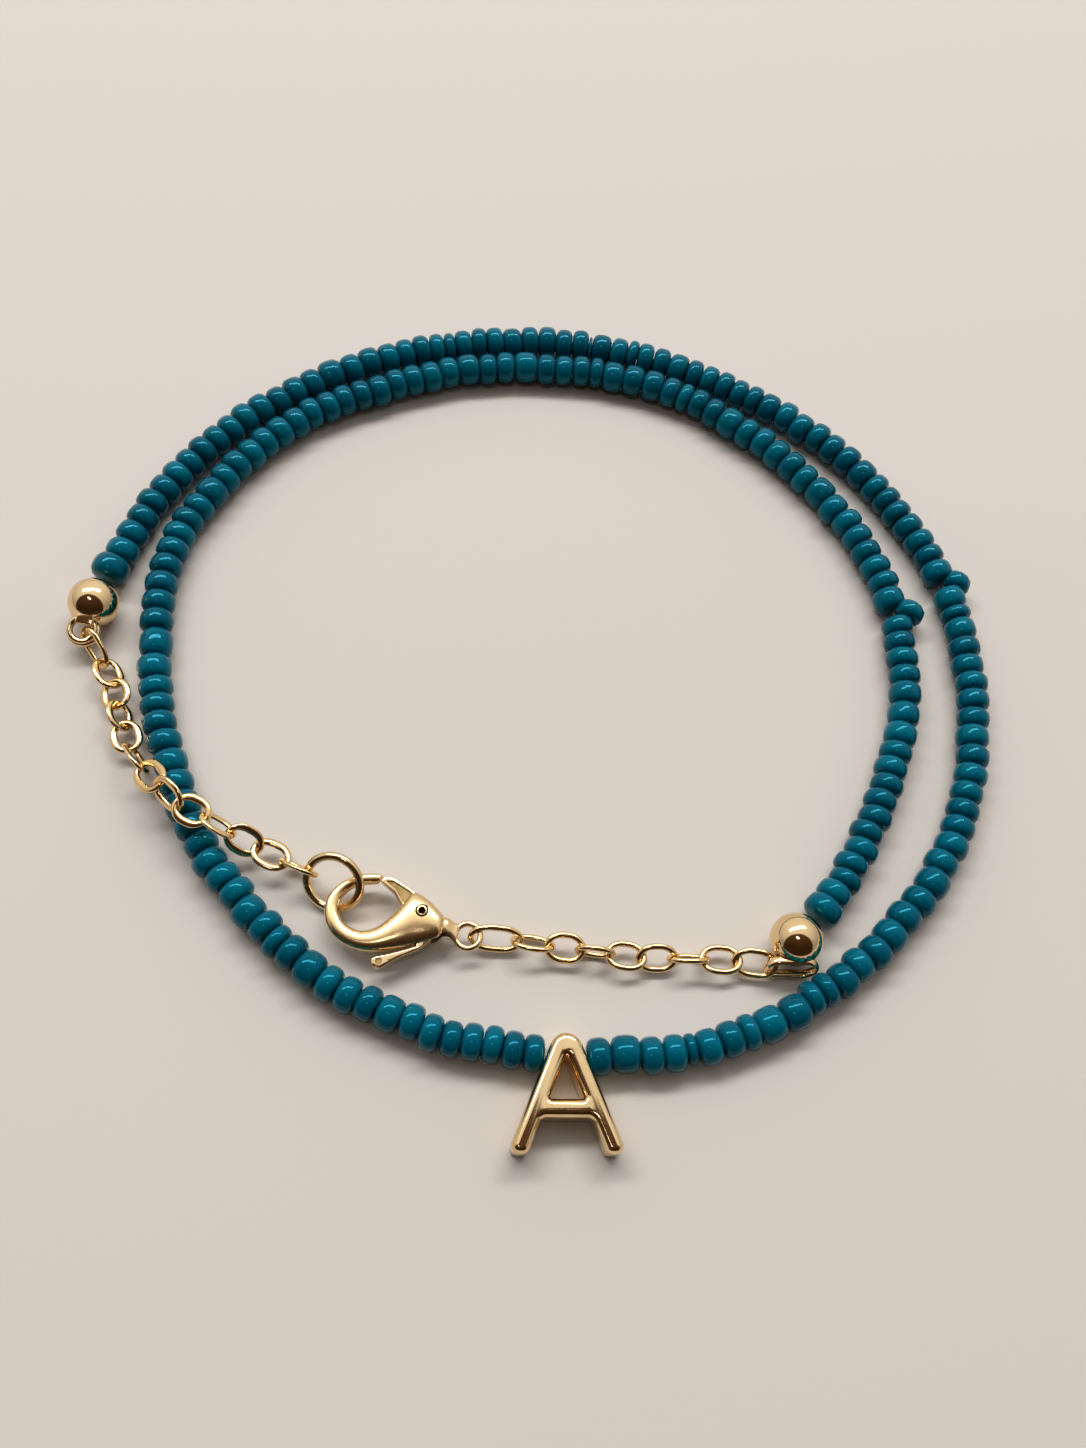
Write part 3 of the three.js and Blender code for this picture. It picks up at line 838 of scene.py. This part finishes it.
clasp = {
    "rivet": (-9.3, -21.2, 1.65),
    "turn": -7.5,  # degrees
    # outer point, inner point and thickness of each cross-section, from the hook's tip round to the neck
    "sections": [
        ((-3.5, 2.62), (-3.76, 2.1), 0.5), ((-3.54, 2.7), (-3.82, 2.02), 0.9),
        ((-3.95, 2.8), (-4.05, 1.92), 1.05), ((-5.0, 2.68), (-4.9, 1.82), 1.15),
        ((-6.4, 2.02), (-5.9, 1.33), 1.2), ((-7.45, 0.95), (-6.5, 0.5), 1.25),
        ((-7.85, -0.4), (-6.65, -0.2), 1.3), ((-7.4, -2.0), (-6.35, -1.15), 1.35),
        ((-6.3, -3.1), (-5.6, -1.85), 1.4), ((-4.7, -3.65), (-4.5, -2.15), 1.55),
        ((-3.4, -3.65), (-3.4, -1.75), 1.8), ((-2.4, -3.45), (-2.4, -0.65), 2.05),
        ((-1.5, -3.2), (-1.75, 0.4), 2.25), ((-0.75, -2.97), (-1.3, 1.3), 2.35),
        ((-0.3, -2.8), (-0.98, 1.8), 2.38), ((0.35, -2.55), (-0.1, 1.5), 2.38),
        ((0.95, -2.28), (0.75, 0.95), 2.3), ((1.4, -2.05), (1.38, 0.4), 2.15),
        ((1.66, -1.86), (1.66, 0.18), 1.9), ((1.76, -1.7), (1.78, 0.0), 1.5),
        ((1.84, -1.68), (1.88, -0.02), 1.45), ((2.1, -1.72), (2.14, 0.0), 1.4),
        ((2.3, -1.68), (2.34, -0.1), 1.2), ((2.55, -1.72), (2.6, -0.3), 0.95),
        ((2.85, -1.98), (2.85, -0.34), 0.75), ((3.1, -2.2), (3.08, -0.3), 0.62),
    ],
    "sides": 20,
    "squareness": 2.5,
    "eyelet": (3.85, -1.21), "eyeletRadius": 1.0, "eyeletWire": 0.5,
    "slotHigh": 1.2,
    "leverThick": 1.0,
    "leverEdge": 0.07,
    "recess": 0.15,  # depth of the sunk fields on the lever
    "tabFrom": -3,  # the thumb tab gets thinner from here
    "tabSlope": 0.6,
    "tabThinner": 0.45,
    "rivetRing": 0.39, "rivetHole": 0.25, "rivetSunk": 0.53, "rivetTop": 1.19,
    "boreTight": 0.05,  # the bore is this much smaller than the rivet, so no gap shows
    "through": 4,
    "sunkDepth": 0.35,
    "sunkTool": 0.8,
    "wellShadeFrom": 0.3,  # height above the middle where the painted shade begins
}


def claspPlace():
    return Matrix.Translation(clasp["rivet"]) @ Matrix.Rotation(math.radians(clasp["turn"]), 4, "Z")


def slotOutline():
    return (
        straightRow([(-2.6, 2.6), (0.9, 1.4)], 1)
        + arcRow((0, 0), 0.95, 51.6, -11.5)
        + straightRow([(2.15, -1.3), (2.4, -2.4), (-1.5, -4.4), (-3.2, -4.2), (-2.9, -3.55), (-1.2, -3.02),
                       (-0.2, -2.5), (-0.75, -1.0), (-2.6, -0.5)], 1)
        + [Vector((-2.6, -0.5, 0))])


def leverOutline():
    return (
        arcRow((0, 0), 4.2, 149.5, 143.5, 4)
        + smoothRow([(-3.376, 2.498), (-2.7, 2.48), (-1.6, 1.97), (-0.85, 1.6)], 4)
        + arcRow((0, 0), 0.8, 59.6, -51.6)
        + smoothRow([(1.05, -2.0), (0.3, -2.85), (-1.15, -3.75), (-1.95, -4.4)], 6)
        + arcRow((-2.72, -4.3), 0.55, -62, -205, 14)
        + smoothRow([(-2.95, -3.98), (-2.3, -3.75), (-1.2, -3.3), (0.05, -2.75)], 6)
        + straightRow([(0.05, -2.75), (-0.6, -0.8), (-1.85, 0.6), (-2.45, 1.4), (-3.62, 2.13)], 4))


def paintWellShade(obj, radius, top):
    # painted shade: a dark material in the sunk places around and inside the rivet, standing in for the
    # shade in these gaps
    obj.data.materials.append(paintedWellShade)
    centre = Vector(clasp["rivet"])
    for face in obj.data.polygons:
        place = face.center / metre - centre
        if place.xy.length < radius * 1.02 and clasp["wellShadeFrom"] < abs(place.z) < top:
            face.material_index = len(obj.data.materials) - 1


def makeClaspBody():
    body = drawOut("clasp", clasp["sides"], clasp["squareness"],
                   [sectionPlace(*section) for section in clasp["sections"]])
    applyModifier(body, "SUBSURF", levels=2, render_levels=2)
    eyelet = ringOf(clasp["eyeletRadius"], clasp["eyeletWire"], 48, 16, place=(*clasp["eyelet"], 0))
    cut(body, eyelet, "UNION")
    cut(body, flatPlate("slot", [slotOutline()], clasp["slotHigh"]))
    cut(body, rod(clasp["rivetRing"] - clasp["boreTight"], clasp["through"]))
    height = clasp["rivetTop"] - clasp["sunkDepth"] + clasp["sunkTool"] / 2
    for side in (-1, 1):
        cut(body, rod(clasp["rivetSunk"], clasp["sunkTool"], place=(0, 0, side * height)))
    body.data.transform(claspPlace())
    finishPiece(body, "claspBody", "necklace", ["clasp_body"], claspGold, angle=35)
    # the sunk places around the rivet get painted shade
    paintWellShade(body, clasp["rivetSunk"], clasp["rivetTop"] - 0.02)


def makeLever():
    edge, recess = clasp["leverEdge"], clasp["recess"]
    lever = flatPlate("lever", [leverOutline()], clasp["leverThick"] - 2 * edge)
    for side in (-1, 1):
        stepIn(lever, side, roundSteps(edge, 3))
    top = clasp["leverThick"] / 2
    gateRecess = straightRow([(-3.25, 2.2), (-2.65, 2.28), (-1.2, 1.6), (-0.3, 1.0), (-0.3, 0.3),
                              (-0.95, -0.1), (-1.75, 0.78), (-2.35, 1.56), (-3.25, 2.2)], 3)
    thumbRecess = arcRow((-2.7, -4.3), 0.27, 0, 360, 20)
    for side in (-1, 1):
        for outline in (gateRecess, thumbRecess):
            pocket = flatPlate("pocket", [outline], 2 * recess)
            pocket.location.z = side * top
            cut(lever, pocket)
    cut(lever, rod(clasp["rivetRing"] - clasp["boreTight"], clasp["through"]))
    for vertex in lever.data.vertices:  # the thumb tab is thinner than the gate
        if vertex.co.y < clasp["tabFrom"] and vertex.co.z < 0:
            share = min((clasp["tabFrom"] - vertex.co.y) / clasp["tabSlope"], 1)
            vertex.co.z += clasp["tabThinner"] * share * (-vertex.co.z / top)
    lever.data.transform(claspPlace())
    finishPiece(lever, "claspLever", "lever", ["clasp_lever"], polishedGold, angle=35)
    # the floors of the sunk fields get the brushed gold with painted shade
    lever.data.materials.append(brushedGoldPaintedShade)
    floors = clasp["rivet"][2] + top - recess, clasp["rivet"][2] - top + recess
    for face in lever.data.polygons:
        onFloor = any(abs(face.center.z / metre - floor) < 0.02 for floor in floors)
        if onFloor and abs(face.normal.z) > squareOn:
            face.material_index = 1


def makeRivet():
    top, ring, hole = clasp["rivetTop"], clasp["rivetRing"], clasp["rivetHole"]
    rivet = rod(ring, 2 * top)
    # a raised ring with a hole in it: (inwards, outwards)
    steps = [(0.05, 0), (0.05, 0.03), (ring - hole - 0.14, 0), (0.04, -0.05), (0.01, -0.7)]
    for side in (-1, 1):
        stepIn(rivet, side, steps)
    rivet.data.transform(claspPlace())
    finishPiece(rivet, "claspRivet", "necklace", ["clasp_rivet"], claspGold, angle=40)
    # the rivet's hole and its well get painted shade
    paintWellShade(rivet, hole, top - 0.04)


makeClaspBody()
makeLever()
makeRivet()
print("clasp made")


# ---- pendant ----

pendant = {
    "place": (1.95, -31.85, 0),
    "turn": -0.3,
    "thick": 3.0,
    "hole": 0.5,
    "holeAt": -0.02,  # along the letter's height
    "holeLength": 3.4,
    "bottomEdge": 0.22,
    # the rim and crown of the upper face, step by step: (inwards, upwards)
    "rim": [(0.03, 0.1), (0.07, 0.13), (0.09, 0.12), (0.09, 0.08), (0.08, 0.04), (0.08, 0.022),
            (0.07, 0.008)],
}


def letterOutline():
    leg = [(-4.45, -7.58, 0.6), (-2.95, -7.58, 0.58), (-1.88, -5.0, 0.5)]
    return roundCorners([(0, 3.36, 1.27)] + leg + [(-x, y, radius) for x, y, radius in reversed(leg)], 8)


def counterOutline():
    return roundCorners([(0, -0.4, 0.1), (-1.32, -3.65, 0.14), (1.32, -3.65, 0.14)], 4)


def makePendant():
    thick, bottom = pendant["thick"], pendant["bottomEdge"]
    top = sum(upwards for _, upwards in pendant["rim"])
    letter = flatPlate("letter", [letterOutline(), counterOutline()], thick - bottom - top)
    letter.location.z = (thick - bottom - top) / 2 + bottom
    applyPlace(letter)
    stepIn(letter, -1, roundSteps(bottom, 3))
    stepIn(letter, 1, pendant["rim"])
    middle = (0, pendant["holeAt"], thick / 2)
    cut(letter, rod(pendant["hole"], pendant["holeLength"], 32, middle, (0, math.pi / 2, 0)))
    turn = Matrix.Rotation(math.radians(pendant["turn"]), 4, "Z")
    letter.data.transform(Matrix.Translation(pendant["place"]) @ turn)
    finishPiece(letter, "letterPendant", "necklace", ["pendant"], polishedGold, angle=30)


makePendant()
print("pendant made")


# ---- floor, lights and world ----

studio = {
    "floor": (0.57, 0.525, 0.48),
    "floorRoughness": 0.9,
    "floorSize": 20,  # metres
    "backdrop": (0.33, 0.30, 0.27),
    "bright": 0.95,  # of the room on its light side
    "dim": 0.35,  # and on the other
    "brightFrom": 0.85,  # facing, from 0 across the light side to 1 straight towards it
    "warmth": (1, 0.97, 0.93),
    "lightTowards": (-0.05, 0.6, 0.8),
    "dark": (0.10, 0.055, 0.028),
    "darkTowards": (-0.1, -0.8, 0.59),
    "darkEdge": (0.46, 0.49),  # facing at which the dark corner begins and is full
    "strip": {"place": (-0.05, 0.41, 0.62), "size": (0.95, 0.13), "power": 5.8},
    "spot": {"place": (-0.1, -0.13, 0.71), "size": (0.17, 0.06), "power": 0.24},
}


def makeFloor():
    bpy.ops.object.select_all(action="DESELECT")
    bpy.ops.mesh.primitive_plane_add(size=studio["floorSize"])
    floor = bpy.context.object
    floor.name = "floor"
    material, _, _, shader = newMaterial("pale floor")
    shader.inputs["Base Color"].default_value = (*studio["floor"], 1)
    shader.inputs["Roughness"].default_value = studio["floorRoughness"]
    floor.data.materials.append(material)


def makeLight(name):
    settings = studio[name]
    data = bpy.data.lights.new(name, "AREA")
    data.shape = "RECTANGLE"
    data.size, data.size_y = settings["size"]
    data.energy = settings["power"]
    light = bpy.data.objects.new(name, data)
    bpy.context.scene.collection.objects.link(light)
    place = Vector(settings["place"])
    light.matrix_world = Matrix.Translation(place) @ place.to_track_quat("Z", "Y").to_matrix().to_4x4()


def makeWorld():
    # a pale room, lighter on one side, with one dark corner
    world = bpy.data.worlds.new("studio")
    world.use_nodes = True
    nodes, links = world.node_tree.nodes, world.node_tree.links
    direction = nodes.new("ShaderNodeTexCoord")
    shades = []
    dim, bright = (tuple(studio[level] * share for share in studio["warmth"])
                   for level in ("dim", "bright"))
    darkFrom, darkFull = studio["darkEdge"]
    for name, stops in (("lightTowards", [(0, dim), (studio["brightFrom"], bright)]),
                        ("darkTowards", [(darkFrom, grey(1)), (darkFull, studio["dark"])])):
        towards = nodes.new("ShaderNodeVectorMath")
        towards.operation = "DOT_PRODUCT"
        towards.inputs[1].default_value = Vector(studio[name]).normalized()
        links.new(direction.outputs["Generated"], towards.inputs[0])
        shades.append(ramp(nodes, links, towards.outputs["Value"], stops))
    product = nodes.new("ShaderNodeMix")
    product.data_type = "RGBA"
    product.blend_type = "MULTIPLY"
    product.inputs["Factor"].default_value = 1
    links.new(shades[0].outputs["Color"], product.inputs["A"])
    links.new(shades[1].outputs["Color"], product.inputs["B"])
    # the backdrop itself is plain, so the dark corner shows in reflections alone
    rays = nodes.new("ShaderNodeLightPath")
    seen = nodes.new("ShaderNodeMix")
    seen.data_type = "RGBA"
    links.new(rays.outputs["Is Camera Ray"], seen.inputs["Factor"])
    links.new(product.outputs["Result"], seen.inputs["A"])
    seen.inputs["B"].default_value = (*studio["backdrop"], 1)
    links.new(seen.outputs["Result"], nodes["Background"].inputs["Color"])
    bpy.context.scene.world = world


makeFloor()
makeLight("strip")
makeLight("spot")
makeWorld()
bpy.context.scene.view_settings.view_transform = "Standard"
